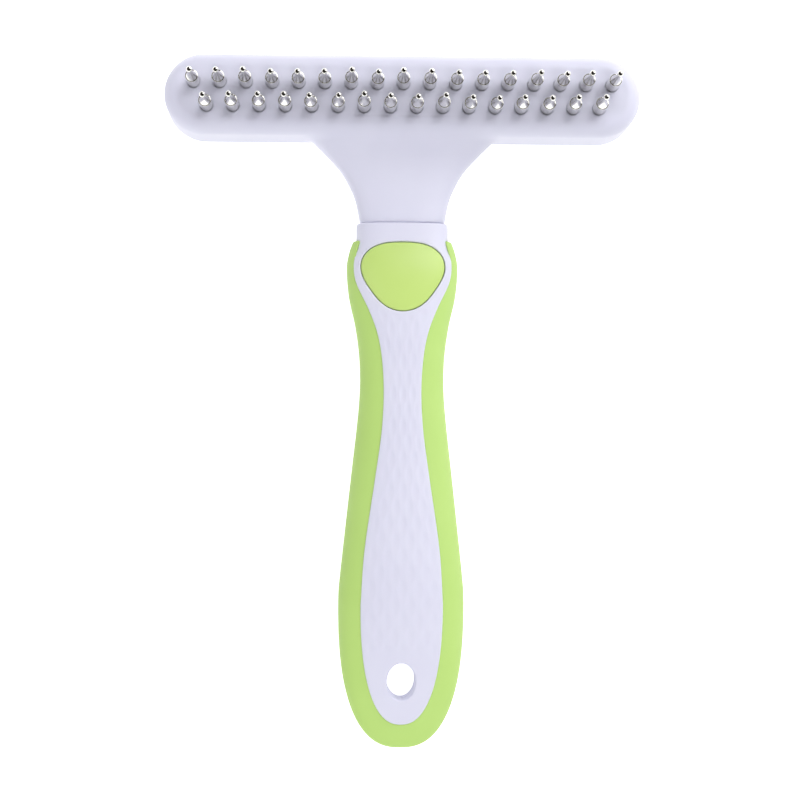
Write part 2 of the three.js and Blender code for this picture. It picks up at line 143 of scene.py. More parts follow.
# ---- Curves and distance fields --------------------------------------------------------------

CURVE_STEPS = 1200


def curve(points):
    """The smooth curve through (y, value) points, as a function of arrays of y."""
    row = sorted(points)
    ys = np.array([p[0] for p in row], float)
    vs = np.array([p[1] for p in row], float)
    tilts = np.empty_like(vs)
    tilts[1:-1] = (vs[2:] - vs[:-2]) / (ys[2:] - ys[:-2])
    tilts[0] = (vs[1] - vs[0]) / (ys[1] - ys[0])
    tilts[-1] = (vs[-1] - vs[-2]) / (ys[-1] - ys[-2])
    fine = np.linspace(ys[0], ys[-1], CURVE_STEPS)
    i = np.clip(np.searchsorted(ys, fine, side="right") - 1, 0, len(ys) - 2)
    gap = ys[i + 1] - ys[i]
    t = (fine - ys[i]) / gap
    rise = vs[i + 1] - vs[i]
    m0, m1 = tilts[i] * gap, tilts[i + 1] * gap
    values = vs[i] + m0 * t + (3 * rise - 2 * m0 - m1) * t**2 + (m0 + m1 - 2 * rise) * t**3
    return lambda y: np.interp(y, fine, values)


handle_width = curve(HANDLE_WIDTHS)
handle_front = curve(HANDLE_FRONT)
handle_back = curve(HANDLE_BACK)
panel_width = curve(PANEL_WIDTHS)
neck_width = curve(NECK_WIDTHS)
neck_front = curve(NECK_FRONT)
neck_back = curve(NECK_BACK)


def smoothstep(low, high, value):
    """0 up to low, 1 from high on, and a smooth rise between."""
    t = np.clip((value - low) / (high - low), 0, 1)
    return t * t * (3 - 2 * t)


def join(a, b, radius):
    """Union of two fields with a round fillet."""
    u, v = np.maximum(radius - a, 0), np.maximum(radius - b, 0)
    return np.maximum(radius, np.minimum(a, b)) - np.sqrt(u * u + v * v)


def common(a, b, radius):
    """What two fields share, with its edge rounded."""
    u, v = np.maximum(radius + a, 0), np.maximum(radius + b, 0)
    return np.minimum(-radius, np.maximum(a, b)) + np.sqrt(u * u + v * v)


def cut(a, b, radius):
    """Field a without field b, with the cut's edge rounded."""
    return common(a, -b, radius)


def as_distance(form, step=0.02, least_slope=0.02):
    """A form's value divided by its slope, so that it measures millimetres near its surface."""
    def measured(x, y, z):
        value = form(x, y, z)
        dx = form(x + step, y, z) - value
        dy = form(x, y + step, z) - value
        dz = form(x, y, z + step) - value
        slope = np.sqrt(dx * dx + dy * dy + dz * dz) / step
        return value / np.maximum(slope, least_slope)
    return measured


def superellipse(a, b, power):
    """1 where (a, b) lies on the superellipse, less inside."""
    return (a**power + b**power + TINY) ** (1 / power)


def plan_ratio(x, y, width, end_y, power):
    """0 on the outline's middle line and 1 on the outline, which closes in a superellipse."""
    across = np.abs(x) / width(y)
    down = np.maximum(ROUND_FROM_Y - y, 0) / (ROUND_FROM_Y - end_y)
    return superellipse(across, down, power)


def height_ratio(z, front, back):
    """0 halfway between the front and back surfaces and 1 on either."""
    return np.abs(z - (front + back) / 2) / ((front - back) / 2)


def handle_ratio(x, y, z):
    """0 on the green band's outer surface, less inside."""
    plan = plan_ratio(x, y, handle_width, HANDLE_END_Y, HANDLE_ROUND)
    height = height_ratio(z, handle_front(y), handle_back(y) + RAISE)
    fullness = HANDLE_POWER + END_FULLNESS * (1 - smoothstep(HANDLE_END_Y, ROUND_FROM_Y, y))
    return (plan**fullness + height**HANDLE_POWER + TINY) ** (1 / HANDLE_POWER) - 1


def panel_ratio(x, y, z):
    """0 on the outline of the white panels, the same at any height."""
    return plan_ratio(x, y, panel_width, PANEL_END_Y, PANEL_ROUND) - 1


def collar_ratio(x, y, z):
    """0 on the collar's surface."""
    height = height_ratio(z, handle_front(y), handle_back(y))
    return superellipse(np.abs(x) / COLLAR_HALF_WIDTH, height, COLLAR_POWER) - 1


def neck_ratio(x, y, z):
    """0 on the neck's surface."""
    height = height_ratio(z, neck_front(y), neck_back(y))
    return superellipse(np.abs(x) / neck_width(y), height, COLLAR_POWER) - 1


def button_measure(x, y):
    """0 in the middle of the button's rounded triangle and 1 on its outline."""
    u, v = x / BUTTON["half_width"], (y - BUTTON["y"]) / BUTTON["half_length"]
    turn = np.arctan2(v, u)
    return np.hypot(u, v) / (1 + BUTTON["corner"] * np.cos(3 * (turn + math.pi / 2)))


def button_ratio(x, y, z):
    """0 on the button's outline, the same at any height."""
    return button_measure(x, y) - 1


def hole_ratio(x, y, z):
    """0 on the wall of the oval hang hole."""
    return np.hypot(x / HANG_HOLE["half_width"], (y - HANG_HOLE["y"]) / HANG_HOLE["half_length"]) - 1


handle_form = as_distance(handle_ratio)
panel_plan = as_distance(panel_ratio)
collar_form = as_distance(collar_ratio)
neck_form = as_distance(neck_ratio)
button_outline = as_distance(button_ratio)
hole_outline = as_distance(hole_ratio)


def block(x, y, z, low, high):
    """Field of a box."""
    across = np.maximum(low[0] - x, x - high[0])
    along = np.maximum(low[1] - y, y - high[1])
    up = np.maximum(low[2] - z, z - high[2])
    return np.maximum(np.maximum(across, along), up)


def stadium(x, y, inset):
    """Plan distance to the bar's round-ended outline, drawn in by inset."""
    along = np.maximum(np.abs(x) - (BAR_HALF_WIDTH - BAR_RADIUS), 0)
    return np.hypot(along, y - BAR_MID_Y) - (BAR_RADIUS - inset)


# ---- Meshes from fields ----------------------------------------------------------------------

COARSE = 4  # fine cells to a side of a rough one
REACH = 2.2  # rough cells on each side of the surface that are worked out finely
LONGEST_MOVE = 0.6  # of a cell, in one step towards the surface
LEAST_SLOPE_SQUARED = 0.05
ROUNDS = {"first": 3, "even": 3, "last": 2}
CELLS = {  # millimetres, by piece
    "head": 0.34, "head_cover": 0.45, "handle_back": 0.32, "handle_front": 0.3,
    "grip_band": 0.32, "button_cap": 0.28,
}


def slopes(field, p, step=0.01):
    """Field's value and gradient at points p."""
    value = field(p[:, 0], p[:, 1], p[:, 2])
    gradient = np.empty_like(p)
    for axis in range(3):
        q = p.copy()
        q[:, axis] += step
        gradient[:, axis] = (field(q[:, 0], q[:, 1], q[:, 2]) - value) / step
    return value, gradient


def settle(field, p, cell, rounds):
    """Moves points onto the field's surface."""
    for _ in range(rounds):
        value, gradient = slopes(field, p)
        size = np.maximum((gradient**2).sum(1), LEAST_SLOPE_SQUARED)
        move = (value / size)[:, None] * gradient
        length = np.linalg.norm(move, axis=1)
        move *= np.minimum(1, LONGEST_MOVE * cell / np.maximum(length, TINY))[:, None]
        p = p - move
    return p


def one_apart(axis):
    """Two index tuples that pair each grid point with the next one along an axis."""
    first, second = [slice(None)] * 3, [slice(None)] * 3
    first[axis], second[axis] = slice(None, -1), slice(1, None)
    return tuple(first), tuple(second)


def grown(mask):
    """The mask with one more layer of cells round it."""
    for axis in range(3):
        first, second = one_apart(axis)
        wider = mask.copy()
        wider[second] |= mask[first]
        wider[first] |= mask[second]
        mask = wider
    return mask


def sampled(field, low, counts, cell):
    """The field on a grid, worked out only near its surface."""
    rough_counts = [-(-(n - 1) // COARSE) + 1 for n in counts]
    rough_axes = [low[i] + cell * COARSE * np.arange(rough_counts[i]) for i in range(3)]
    grid = np.meshgrid(*rough_axes, indexing="ij")
    rough = field(*[g.ravel() for g in grid]).reshape(rough_counts)
    near = grown(np.abs(rough) < cell * COARSE * REACH)
    nearest = [np.minimum(np.arange(n) // COARSE, rough_counts[i] - 1) for i, n in enumerate(counts)]
    pick = np.ix_(*nearest)
    values = rough[pick].copy()
    mask = near[pick]
    points = low + np.argwhere(mask) * cell
    values[mask] = field(points[:, 0], points[:, 1], points[:, 2])
    return values


def corners_inside(inside, cells):
    """How many of each cell's eight corners are inside."""
    total = np.zeros(cells, np.int8)
    for i in (0, 1):
        for j in (0, 1):
            for k in (0, 1):
                total += inside[i:i + cells[0], j:j + cells[1], k:k + cells[2]]
    return total.ravel()


def crossings(values, axis):
    """Grid edges along an axis that pass the surface: first corner, place, and whether they lead out."""
    first, second = one_apart(axis)
    a, b = values[first], values[second]
    crossed = (a < 0) != (b < 0)
    index = np.argwhere(crossed)
    place = index.astype(float)
    place[:, axis] += (a / np.where(a == b, 1, a - b))[crossed]
    return index, place, (a < 0)[crossed]


def cells_round(index, axis, cells):
    """The four cells round each crossed edge, in turn: their numbers, and which of them exist."""
    others = [other for other in range(3) if other != axis]
    for du, dv in ((0, 0), (1, 0), (1, 1), (0, 1)):
        cell_index = index.copy()
        cell_index[:, others[0]] -= du
        cell_index[:, others[1]] -= dv
        exists = ((cell_index >= 0) & (cell_index < np.array(cells))).all(1)
        safe = np.clip(cell_index, 0, np.array(cells) - 1)
        yield np.ravel_multi_index(safe.T, cells), exists


def net(field, low, high, cell):
    """Quads round the field's zero level: one vertex in each cell that the surface passes."""
    low = np.array(low, float)
    counts = (np.ceil((np.array(high) - low) / cell).astype(int) + 2).tolist()
    values = sampled(field, low, counts, cell)
    cells = [n - 1 for n in counts]
    total = corners_inside(values < 0, cells)
    mixed = (total > 0) & (total < 8)
    number = np.full(mixed.size, -1, np.int64)
    number[mixed] = np.arange(mixed.sum())
    sums = np.zeros((mixed.size, 3))
    hits = np.zeros(mixed.size)
    quads = []
    for axis in range(3):
        index, place, leads_out = crossings(values, axis)
        corners = []
        whole = np.ones(len(index), bool)
        for flat, exists in cells_round(index, axis, cells):
            whole &= exists
            np.add.at(hits, flat[exists], 1)
            np.add.at(sums, flat[exists], place[exists])
            corners.append(number[flat])
        quad = np.stack(corners, 1)[whole]
        flipped = leads_out[whole] == (axis == 1)
        quad[flipped] = quad[flipped][:, ::-1]
        quads.append(quad)
    points = low + cell * (sums[mixed] / hits[mixed][:, None])
    return points, np.concatenate(quads)


def relaxed(field, points, quads, cell, rounds):
    """Evens the mesh out along the surface."""
    edges = np.concatenate([quads[:, [i, (i + 1) % 4]] for i in range(4)])
    count = np.bincount(edges[:, 0], minlength=len(points)).astype(float)
    for _ in range(rounds):
        mean = np.empty_like(points)
        for axis in range(3):
            mean[:, axis] = np.bincount(edges[:, 0], points[edges[:, 1], axis], len(points))
        mean /= count[:, None]
        points = settle(field, points + 0.5 * (mean - points), cell, 1)
    return points


def in_metres(points):
    """Points in millimetres as tuples in metres."""
    return [tuple(c * MM for c in p) for p in points]


def smooth_mesh(name, points, faces, material):
    """A smooth-shaded mesh from lists of points in metres and faces."""
    mesh = bpy.data.meshes.new(name)
    mesh.from_pydata(points, [], faces)
    mesh.polygons.foreach_set("use_smooth", [True] * len(mesh.polygons))
    mesh.update()
    mesh.materials.append(material)
    return mesh


def placed(name, data):
    """An object of a mesh, a light's data or a camera's data, in the scene."""
    made = bpy.data.objects.new(name, data)
    bpy.context.scene.collection.objects.link(made)
    return made


def moulded(name, field, low, high, material, body, node):
    """A moulded piece: field to mesh, riding on its body and standing for its CAD node."""
    cell = CELLS[name] * 1
    points, quads = net(field, low, high, cell)
    points = settle(field, points, cell, ROUNDS["first"])
    points = relaxed(field, points, quads, cell, ROUNDS["even"])
    points = settle(field, points, cell, ROUNDS["last"])
    made = placed(name, smooth_mesh(name, (points * MM).tolist(), quads.tolist(), material))
    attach(made, body)
    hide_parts(node)


# ---- Materials -------------------------------------------------------------------------------

PATTERN_LOW, PATTERN_HIGH = 0.3, 0.7  # the part of a noise pattern's range that is used


class Nodes:
    """A material's node tree, with short calls for what the materials below share."""

    def __init__(self, name):
        self.material = bpy.data.materials.new(name)
        self.material.use_nodes = True
        self.tree = self.material.node_tree
        self.shader = self.tree.nodes["Principled BSDF"]
        self.place = self.add("ShaderNodeTexCoord").outputs["Object"]

    def add(self, kind, **values):
        node = self.tree.nodes.new(kind)
        for key, value in values.items():
            setattr(node, key, value)
        return node

    def link(self, source, target):
        self.tree.links.new(source, target)

    def noise(self, scale, detail):
        node = self.add("ShaderNodeTexNoise")
        node.inputs["Scale"].default_value = scale
        node.inputs["Detail"].default_value = detail
        self.link(self.place, node.inputs["Vector"])
        return node.outputs["Fac"]

    def colour(self, pattern, low, high):
        """Base colour from low to high, by a pattern."""
        node = self.add("ShaderNodeValToRGB")
        first, second = node.color_ramp.elements
        first.position, second.position = PATTERN_LOW, PATTERN_HIGH
        first.color, second.color = (*low, 1), (*high, 1)
        self.link(pattern, node.inputs["Fac"])
        self.link(node.outputs["Color"], self.shader.inputs["Base Color"])

    def roughness(self, pattern, low, high):
        """Roughness from low to high, by a pattern."""
        node = self.add("ShaderNodeMapRange")
        node.inputs["From Min"].default_value = PATTERN_LOW
        node.inputs["From Max"].default_value = PATTERN_HIGH
        node.inputs["To Min"].default_value = low
        node.inputs["To Max"].default_value = high
        self.link(pattern, node.inputs["Value"])
        self.link(node.outputs["Result"], self.shader.inputs["Roughness"])

    def bump(self, pattern, strength, distance):
        node = self.add("ShaderNodeBump")
        node.inputs["Strength"].default_value = strength
        node.inputs["Distance"].default_value = distance
        self.link(pattern, node.inputs["Height"])
        self.link(node.outputs["Normal"], self.shader.inputs["Normal"])


def white_plastic():
    """Slightly milky moulded plastic."""
    made = Nodes("white_plastic")
    made.colour(made.noise(60, 4), (0.70, 0.70, 0.84), (0.725, 0.725, 0.86))
    made.roughness(made.noise(900, 2), 0.34, 0.42)
    made.bump(made.noise(5000, 3), 0.08, 0.00005)
    made.shader.inputs["Subsurface Weight"].default_value = 0.08
    made.shader.inputs["Subsurface Radius"].default_value = (0.0012, 0.001, 0.0011)
    made.shader.inputs["Subsurface Scale"].default_value = 1.0
    return made.material


def soft_green():
    """Matt soft-touch band."""
    made = Nodes("soft_green")
    made.colour(made.noise(45, 4), (0.475, 0.70, 0.19), (0.505, 0.73, 0.21))
    made.roughness(made.noise(1400, 2), 0.55, 0.64)
    made.bump(made.noise(7000, 2), 0.12, 0.00005)
    return made.material


def button_green():
    """The button's smoother, lighter green."""
    made = Nodes("button_green")
    made.colour(made.noise(60, 3), (0.545, 0.735, 0.205), (0.565, 0.755, 0.22))
    made.roughness(made.noise(400, 2), 0.34, 0.38)
    made.bump(made.noise(2500, 2), 0.03, 0.00004)
    return made.material


def pin_steel():
    """Polished steel with fine turning marks."""
    made = Nodes("pin_steel")
    made.shader.inputs["Metallic"].default_value = 1
    made.colour(made.noise(500, 3), (0.72, 0.71, 0.69), (0.80, 0.79, 0.76))
    made.roughness(made.noise(1500, 3), 0.10, 0.20)
    turning = made.add("ShaderNodeTexWave", bands_direction="Z")
    turning.inputs["Scale"].default_value = 900
    turning.inputs["Distortion"].default_value = 1.5
    made.link(made.place, turning.inputs["Vector"])
    made.bump(turning.outputs["Fac"], 0.06, 0.00003)
    return made.material


def spring_steel():
    """Dull grey wire."""
    made = Nodes("spring_steel")
    made.shader.inputs["Metallic"].default_value = 1
    made.colour(made.noise(800, 3), (0.42, 0.42, 0.42), (0.5, 0.5, 0.5))
    made.roughness(made.noise(2500, 2), 0.3, 0.42)
    return made.material


def inner_plastic():
    """Plain off-white plastic of the unseen pieces."""
    made = Nodes("inner_plastic")
    made.colour(made.noise(80, 3), (0.6, 0.6, 0.62), (0.66, 0.66, 0.68))
    made.roughness(made.noise(900, 2), 0.45, 0.55)
    made.bump(made.noise(5000, 2), 0.1, 0.00005)
    return made.material


WHITE = white_plastic()
GREEN = soft_green()
LIME = button_green()
STEEL = pin_steel()
WIRE = spring_steel()
INNER = inner_plastic()


# ---- Head ------------------------------------------------------------------------------------

HOLE_RADIUS = 1.64  # a little under the pins' feet, so that no gap shows round them
HOLE_BOTTOM_Z = 9
BAR_DRAFT = 0.02
NECK_END_Y = 75
SEAM_GAP = 0.1
COVER_GAP = 0.3
TANG_HALF_WIDTH = 8.2
TANG_SLOT = {"half_width": 4.6, "top_y": 40}
TANG_BLOCKS = [  # lowest and highest (y, z) of the prongs, the root and the catches
    ((16, 7.7), (SEAM_Y + 4, 10.3)),
    ((40, 5.9), (SEAM_Y + 4, 10.3)),
    ((32.8, 6), (35.4, 9)),
]


def pin_holes(x, y):
    """Plan distance to the nearest pin hole's wall, below zero inside a hole."""
    rows = []
    for row_y, reach, shift in ((UPPER_Y, UPPER_REACH, 0.0), (LOWER_Y, LOWER_REACH, 0.5)):
        middle = (np.round(x / PIN_PITCH - shift) + shift) * PIN_PITCH
        middle = np.clip(middle, -reach, reach)
        rows.append(np.hypot(x - middle, y - row_y) - HOLE_RADIUS)
    return np.minimum(*rows)


def tang_field(x, y, z):
    """The forked tongue with its two catches."""
    half = TANG_HALF_WIDTH
    blocks = [block(x, y, z, (-half, *low), (half, *high)) for low, high in TANG_BLOCKS]
    slot = np.maximum(np.abs(x) - TANG_SLOT["half_width"], y - TANG_SLOT["top_y"])
    return cut(np.minimum.reduce(blocks), slot, radius=0.4)


def head_field(x, y, z):
    """Bar, neck and tang as one moulding."""
    draft = BAR_DRAFT * (FACE_Z - z)
    bar = common(stadium(x, y, inset=0.3) - draft, z - FACE_Z, radius=4.0)
    bar = common(bar, HEAD_LOW[2] - z, radius=1.0)
    neck = common(neck_form(x, y, z), SEAM_Y - SEAM_GAP - y, radius=0.2)
    neck = np.maximum(neck, y - NECK_END_Y)
    head = join(bar, neck, radius=1.4)
    head = np.minimum(head, tang_field(x, y, z))
    rebate = np.maximum(stadium(x, y, inset=1.2), z - COVER_TOP_Z - COVER_GAP)
    head = cut(head, rebate, radius=0.2)
    holes = np.maximum(pin_holes(x, y), HOLE_BOTTOM_Z - z)
    return cut(head, holes, radius=0.06)


def make_head():
    low = (-BAR_HALF_WIDTH - 1, HEAD_LOW[1] - 1, -0.8)
    high = (BAR_HALF_WIDTH + 1, BAR_TOP_Y + 1, FACE_Z + 1)
    moulded("head", head_field, low, high, WHITE, "head", "head_shell")


def cover_field(x, y, z):
    """The cover let into the back of the bar."""
    plate = common(stadium(x, y, inset=1.5), z - COVER_TOP_Z, radius=0.3)
    return common(plate, -z, radius=0.5)


def make_cover():
    low = (-BAR_HALF_WIDTH, BAR_MID_Y - BAR_RADIUS - 1, -0.6)
    high = (BAR_HALF_WIDTH, BAR_TOP_Y + 1, COVER_TOP_Z + 0.6)
    moulded("head_cover", cover_field, low, high, WHITE, "head", "head_back_cover")


# ---- Pins ------------------------------------------------------------------------------------

PIN_SIDES = 28
SHARP_ANGLE = math.radians(50)
LEAN = 0.9  # degrees, the spread of the pins' random lean
FLANGE = {"radius": 2.5, "bevel": 0.2, "thickness": 1.2}
FOOT = {"radius": 1.7, "mid_z": 18, "shoulder_z": 21.9, "rounding": 0.16}
NECK = {"radius": 0.6, "flare": 0.9, "power": 2.6, "steps": 12, "step_in": 0.02}
BALL_RADIUS = 0.8
NECK_IN_BALL = 0.25


def turned(name, profile, sides, material):
    """A lathe-turned mesh round Z, from (radius, z) points in millimetres that start and end on the axis."""
    rings = profile[1:-1]
    points = [(0, 0, profile[0][1])]
    for radius, z in rings:
        for i in range(sides):
            turn = 2 * math.pi * i / sides
            points.append((radius * math.cos(turn), radius * math.sin(turn), z))
    points.append((0, 0, profile[-1][1]))
    last = len(points) - 1
    faces = [(0, 1 + (i + 1) % sides, 1 + i) for i in range(sides)]
    for ring in range(len(rings) - 1):
        base = 1 + ring * sides
        for i in range(sides):
            j = (i + 1) % sides
            faces.append((base + i, base + j, base + sides + j, base + sides + i))
    base = 1 + (len(rings) - 1) * sides
    faces += [(base + i, base + (i + 1) % sides, last) for i in range(sides)]
    mesh = smooth_mesh(name, in_metres(points), faces, material)
    mesh.set_sharp_from_angle(angle=SHARP_ANGLE)
    return mesh


def arc(radius, x, z, start, end, count):
    """Points on a circle round (x, z), by angles in degrees."""
    turns = [math.radians(start + (end - start) * i / count) for i in range(count + 1)]
    return [(x + radius * math.cos(t), z + radius * math.sin(t)) for t in turns]


def flange_and_foot():
    """The flange behind the face, and the stout foot up to its rounded shoulder."""
    flange_top = PIN_FOOT_Z + FLANGE["thickness"]
    radius, rounding, top = FOOT["radius"], FOOT["rounding"], FOOT["shoulder_z"]
    profile = [
        (0, PIN_FOOT_Z),
        (FLANGE["radius"] - FLANGE["bevel"], PIN_FOOT_Z),
        (FLANGE["radius"], PIN_FOOT_Z + FLANGE["bevel"]),
        (FLANGE["radius"], flange_top),
        (radius, flange_top),
        (radius, FOOT["mid_z"]),
    ]
    return profile + arc(rounding, radius - rounding, top - rounding, start=0, end=70, count=4)


def flared_neck():
    """The thin neck, which flares down to the foot."""
    low_z = FOOT["shoulder_z"] + NECK["step_in"]
    high_z = PIN_TIP_Z - 2 * BALL_RADIUS + NECK_IN_BALL
    profile = []
    for i in range(NECK["steps"] + 1):
        share = i / NECK["steps"]
        radius = NECK["radius"] + NECK["flare"] * (1 - share)**NECK["power"]
        profile.append((radius, low_z + (high_z - low_z) * share))
    return profile


def pin_profile():
    """Flange, foot, neck and ball tip, as (radius, z) points."""
    ball = arc(BALL_RADIUS, 0, PIN_TIP_Z - BALL_RADIUS, start=-41, end=82, count=10)
    return flange_and_foot() + flared_neck() + ball + [(0, PIN_TIP_Z)]


def make_pins():
    """Each pin leans its own small way about the middle of its hole in the face."""
    upright = turned("turned_pin", pin_profile(), PIN_SIDES, STEEL)
    foot = Matrix.Translation((0, 0, FACE_Z * MM))
    for name in sorted(PIN_PLACES):
        x, y = PIN_PLACES[name]
        lean = Matrix.Rotation(math.radians(random.gauss(0, LEAN)), 4, "X")
        lean @= Matrix.Rotation(math.radians(random.gauss(0, LEAN)), 4, "Y")
        mesh = upright.copy()
        mesh.transform(foot @ lean @ foot.inverted())
        made = placed(name.replace("pin_", "turned_pin_"), mesh)
        made.location = (x * MM, y * MM, 0)
        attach(made, name)
        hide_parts(name)


# ---- Handle ----------------------------------------------------------------------------------

DIMPLE = {"row": 4.28, "least_pitch": 1.25, "widening": 0.27, "depth": 0.17, "net": 0.1, "full": 1.1}
PANEL_RIM = (0.9, 2.0)  # the dimples begin and are full this far in from the edge
BUTTON_RIM = (0.8, 2.5)
FADE_AT_END, FADE_AT_TOP = 6, 4
DIMPLES_FROM_Y, DIMPLES_TO_Y = -70, 22.96
COLLAR_BLEND = (36, 43)  # the panel's surface passes into the collar's between these y
PANEL_TOP_Y = 43.5
TANG_CHANNEL = ((-8.5, 15, 5.6), (8.5, 60, 10.6))  # lowest and highest corner
COLLAR_GAP = 0.12
PARTING_GAP = 0.06
BAND_GAP = 0.25
WINDOW_GAP = 0.14
WINDOW_BOTTOM_Z = 9
BAND_THICKNESS = 1.7
SHELL_HALF_WIDTH = 14
SHELL_END_Y = -87
BAND_HALF_WIDTH = 18
HANDLE_TOP_Z = 20


def dimples(x, y):
    """How deep the panel's staggered lens-shaped dimples are, with a flat net between them."""
    pitch = DIMPLE["least_pitch"] + DIMPLE["widening"] * panel_width(y)
    across = x / pitch
    down = (y - DIMPLES_TO_Y) / (2 * DIMPLE["row"])
    lens = np.abs(np.sin(math.pi * (across + down)) * np.sin(math.pi * (across - down)))
    return DIMPLE["depth"] * smoothstep(DIMPLE["net"], DIMPLE["full"], lens)


def dimpled_share(x, y, z):
    """1 on the panel's dimpled field, 0 on its plain rim, at its ends and round the button."""
    shown = smoothstep(*PANEL_RIM, -panel_plan(x, y, z))
    shown = shown * smoothstep(DIMPLES_FROM_Y, DIMPLES_FROM_Y + FADE_AT_END, y)
    shown = shown * (1 - smoothstep(DIMPLES_TO_Y, DIMPLES_TO_Y + FADE_AT_TOP, y))
    return shown * smoothstep(*BUTTON_RIM, button_outline(x, y, z))


def panel_surface(x, y, z):
    """The panel's surface: a little above the green band, dimpled, and one with the collar at the top."""
    surface = handle_form(x, y, z) - RAISE + dimpled_share(x, y, z) * dimples(x, y)
    share = smoothstep(*COLLAR_BLEND, y)
    return surface * (1 - share) + collar_form(x, y, z) * share


def tang_channel(x, y, z):
    """The room for the tang inside the handle."""
    return block(x, y, z, *TANG_CHANNEL)


def white_body(x, y, z):
    """Panel and collar, front and back in one."""
    panel = common(panel_surface(x, y, z), panel_plan(x, y, z), radius=0.22)
    panel = np.maximum(panel, y - PANEL_TOP_Y)
    collar = common(collar_form(x, y, z), y - COLLAR_TOP_Y - 0.1, radius=0.55)
    collar = np.maximum(collar, GRIP_TOP_Y + COLLAR_GAP - y)
    body = np.minimum(panel, collar)
    body = cut(body, hole_outline(x, y, z), radius=0.5)
    return np.maximum(body, -tang_channel(x, y, z))


def front_field(x, y, z):
    """The front half, with the button's window."""
    body = common(white_body(x, y, z), PARTING_Z + PARTING_GAP - z, radius=0.15)
    window = np.maximum(button_outline(x, y, z) - WINDOW_GAP, WINDOW_BOTTOM_Z - z)
    return cut(body, window, radius=0.22)


def back_field(x, y, z):
    """The back half."""
    return common(white_body(x, y, z), z - PARTING_Z + PARTING_GAP, radius=0.15)


def make_shell(name, field, low_z, high_z, node):
    low = (-SHELL_HALF_WIDTH, SHELL_END_Y, low_z)
    high = (SHELL_HALF_WIDTH, COLLAR_TOP_Y + 0.6, high_z)
    moulded(name, field, low, high, WHITE, "handle", node)


def make_shells():
    make_shell("handle_back", back_field, -0.6, PARTING_Z + 0.4, "handle_back_shell")
    make_shell("handle_front", front_field, PARTING_Z - 0.5, HANDLE_TOP_Z, "handle_front_shell")


def grip_field(x, y, z):
    """The soft green band round the sides and the end."""
    form = handle_form(x, y, z)
    band = common(form, -BAND_GAP - panel_plan(x, y, z), radius=0.1)
    band = common(band, y - GRIP_TOP_Y, radius=0.3)
    return cut(band, form + BAND_THICKNESS, radius=0.2)


def make_grip():
    low = (-BAND_HALF_WIDTH, HANDLE_END_Y - 0.8, -0.8)
    high = (BAND_HALF_WIDTH, GRIP_TOP_Y + 0.8, HANDLE_TOP_Z)
    moulded("grip_band", grip_field, low, high, GREEN, "handle", "soft_grip")


# ---- Button and spring -----------------------------------------------------------------------

BUTTON_EDGE_DROP = 0.1  # under the panel
CROWN = 0.75  # the button's rise in the middle, over the handle's own curve
BUTTON_TOP_Z = 19.5
COIL = {"turns": 5, "steps": 140, "sides": 10, "wire": 0.35, "flat": 0.04}


def button_field(x, y, z):
    """Domed button, crowned over the handle's own curve."""
    crown = CROWN * (1 - np.minimum(button_measure(x, y), 1) ** 2)
    dome = handle_form(x, y, z) - RAISE + BUTTON_EDGE_DROP - crown
    button = common(dome, button_outline(x, y, z), radius=0.55)
    return np.maximum(button, BUTTON_LOW[2] - z)


def make_button():
    low = (BUTTON_LOW[0] - 1, BUTTON_LOW[1] - 1, BUTTON_LOW[2] - 0.7)
    high = (BUTTON_HIGH[0] + 1, BUTTON_HIGH[1] + 1, BUTTON_TOP_Z)
    moulded("button_cap", button_field, low, high, LIME, "button", "release_button")


def coil_points():
    """Rings of points round the coil's wire, with flat turns at both ends."""
    wire, sides = COIL["wire"], COIL["sides"]
    radius = (SPRING_HIGH[0] - SPRING_LOW[0]) / 2 - wire
    middle_y = (SPRING_HIGH[1] + SPRING_LOW[1]) / 2
    low_z, high_z = SPRING_LOW[2] + wire, SPRING_HIGH[2] - wire
    points = []
    for i in range(COIL["steps"] + 1):
        share = i / COIL["steps"]
        turn = 2 * math.pi * COIL["turns"] * share
        rise = float(smoothstep(COIL["flat"], 1 - COIL["flat"], share))
        out = Vector((math.cos(turn), math.sin(turn), 0))
        centre = Vector((0, middle_y, low_z + (high_z - low_z) * rise)) + out * radius
        for j in range(sides):
            a = 2 * math.pi * j / sides
            points.append(tuple(centre + out * wire * math.cos(a) + Vector((0, 0, wire * math.sin(a)))))
    return points


def coil_faces():
    """Quads along the coil's wire, and a cap on each end."""
    steps, sides = COIL["steps"], COIL["sides"]
    faces = []
    for i in range(steps):
        for j in range(sides):
            k = (j + 1) % sides
            faces.append((i * sides + j, i * sides + k, (i + 1) * sides + k, (i + 1) * sides + j))
    faces.append(tuple(range(sides)))
    faces.append(tuple(steps * sides + j for j in reversed(range(sides))))
    return faces


def make_spring():
    """Coil of round wire with flat closed ends."""
    made = placed("coil_spring", smooth_mesh("coil_spring", in_metres(coil_points()), coil_faces(), WIRE))
    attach(made, "handle")
    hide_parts("button_spring")
    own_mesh(made)


def dress_inner_nodes():
    """The unseen CAD pieces keep their shape and get their material."""
    for name in ("latch", "pin_retainer"):
        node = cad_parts[name]
        node.data.materials.clear()
        node.data.materials.append(INNER)


# ---- Studio ----------------------------------------------------------------------------------

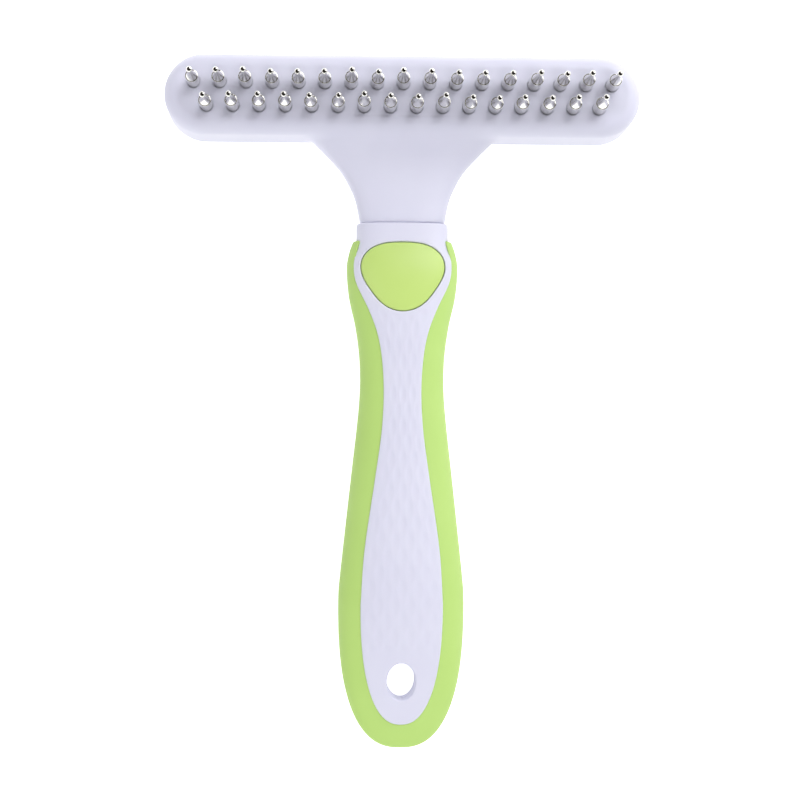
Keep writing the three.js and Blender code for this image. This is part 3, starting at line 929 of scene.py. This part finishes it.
WORLD = 0.75
OPENING_FROM, OPENING_FULL = 0.14, 0.24  # the height, on a unit sphere, where the tent turns dark
OPENING_COLOUR = (0.04, 0.035, 0.03, 1)
FLOOR_HALF_WIDTH = 2.0
FLOOR_GLOW = 0.72
LIGHTS = {  # place and size in metres, power in watts
    "key": ((0.45, 0.50, 0.75), 0.9, 2.7),
    "side": ((0.60, 0.65, 0.45), 1.0, 6.7),
    "crown": ((0.15, 0.68, 0.72), 0.9, 2.6),
    "front": ((0.10, -0.80, 0.50), 0.8, 6.1),
    "left": ((-0.80, 0.00, 0.60), 0.8, 4.1),
}
SEEN_IN_STEEL = "side"  # the other lights leave no highlight
LENS = 76.05
SENSOR_WIDTH = 36
CAMERA_PLACE = (-0.01481, -0.01256, 0.46435)
CAMERA_TURN = {"yaw": 1.809, "pitch": -1.611, "roll": -0.222}  # degrees


def make_floor():
    """A wide white floor that glows by itself. Only the camera and reflections see it."""
    half = FLOOR_HALF_WIDTH
    mesh = bpy.data.meshes.new("floor")
    corners = [(-half, -half, 0), (half, -half, 0), (half, half, 0), (-half, half, 0)]
    mesh.from_pydata(corners, [], [(0, 1, 2, 3)])
    floor = placed("floor", mesh)
    made = Nodes("floor")
    made.colour(made.noise(3, 2), (0.93, 0.93, 0.93), (0.95, 0.95, 0.95))
    made.shader.inputs["Roughness"].default_value = 0.9
    made.shader.inputs["Emission Color"].default_value = (1, 1, 1, 1)
    made.shader.inputs["Emission Strength"].default_value = FLOOR_GLOW
    made.material.cycles.emission_sampling = "NONE"
    mesh.materials.append(made.material)
    floor.visible_diffuse = False
    floor.visible_shadow = False


def make_light(name, place, size, power):
    """A square soft light aimed at the tool's middle."""
    data = bpy.data.lights.new(name, "AREA")
    data.shape = "SQUARE"
    data.size = size
    data.energy = power
    light = placed(name, data)
    light.location = place
    light.rotation_euler = (-Vector(place)).to_track_quat("-Z", "Y").to_euler()
    light.visible_glossy = name == SEEN_IN_STEEL


def make_world():
    """A white tent with a dark opening overhead."""
    world = bpy.data.worlds.new("studio")
    bpy.context.scene.world = world
    world.use_nodes = True
    tree = world.node_tree
    place = tree.nodes.new("ShaderNodeTexCoord")
    split = tree.nodes.new("ShaderNodeSeparateXYZ")
    tree.links.new(place.outputs["Generated"], split.inputs["Vector"])
    ramp = tree.nodes.new("ShaderNodeValToRGB")
    wall, opening = ramp.color_ramp.elements
    wall.position, opening.position = OPENING_FROM, OPENING_FULL
    wall.color, opening.color = (1, 1, 1, 1), OPENING_COLOUR
    tree.links.new(split.outputs["Z"], ramp.inputs["Fac"])
    background = tree.nodes["Background"]
    tree.links.new(ramp.outputs["Color"], background.inputs["Color"])
    background.inputs["Strength"].default_value = WORLD


def make_camera():
    """Almost straight down from above the handle, turned a little."""
    data = bpy.data.cameras.new("camera")
    data.lens = LENS
    data.sensor_width = SENSOR_WIDTH
    camera = placed("camera", data)
    yaw, pitch, roll = (math.radians(CAMERA_TURN[part]) for part in ("yaw", "pitch", "roll"))
    turn = Matrix.Rotation(roll, 4, "Z") @ Matrix.Rotation(pitch, 4, "X") @ Matrix.Rotation(yaw, 4, "Y")
    camera.matrix_world = Matrix.Translation(CAMERA_PLACE) @ turn.transposed()
    bpy.context.scene.camera = camera


def make_studio():
    make_world()
    make_floor()
    for name, values in LIGHTS.items():
        make_light(name, *values)
    bpy.context.scene.view_settings.view_transform = "Standard"


make_head()
make_cover()
make_pins()
make_shells()
make_grip()
make_button()
make_spring()
dress_inner_nodes()
make_studio()
make_camera()
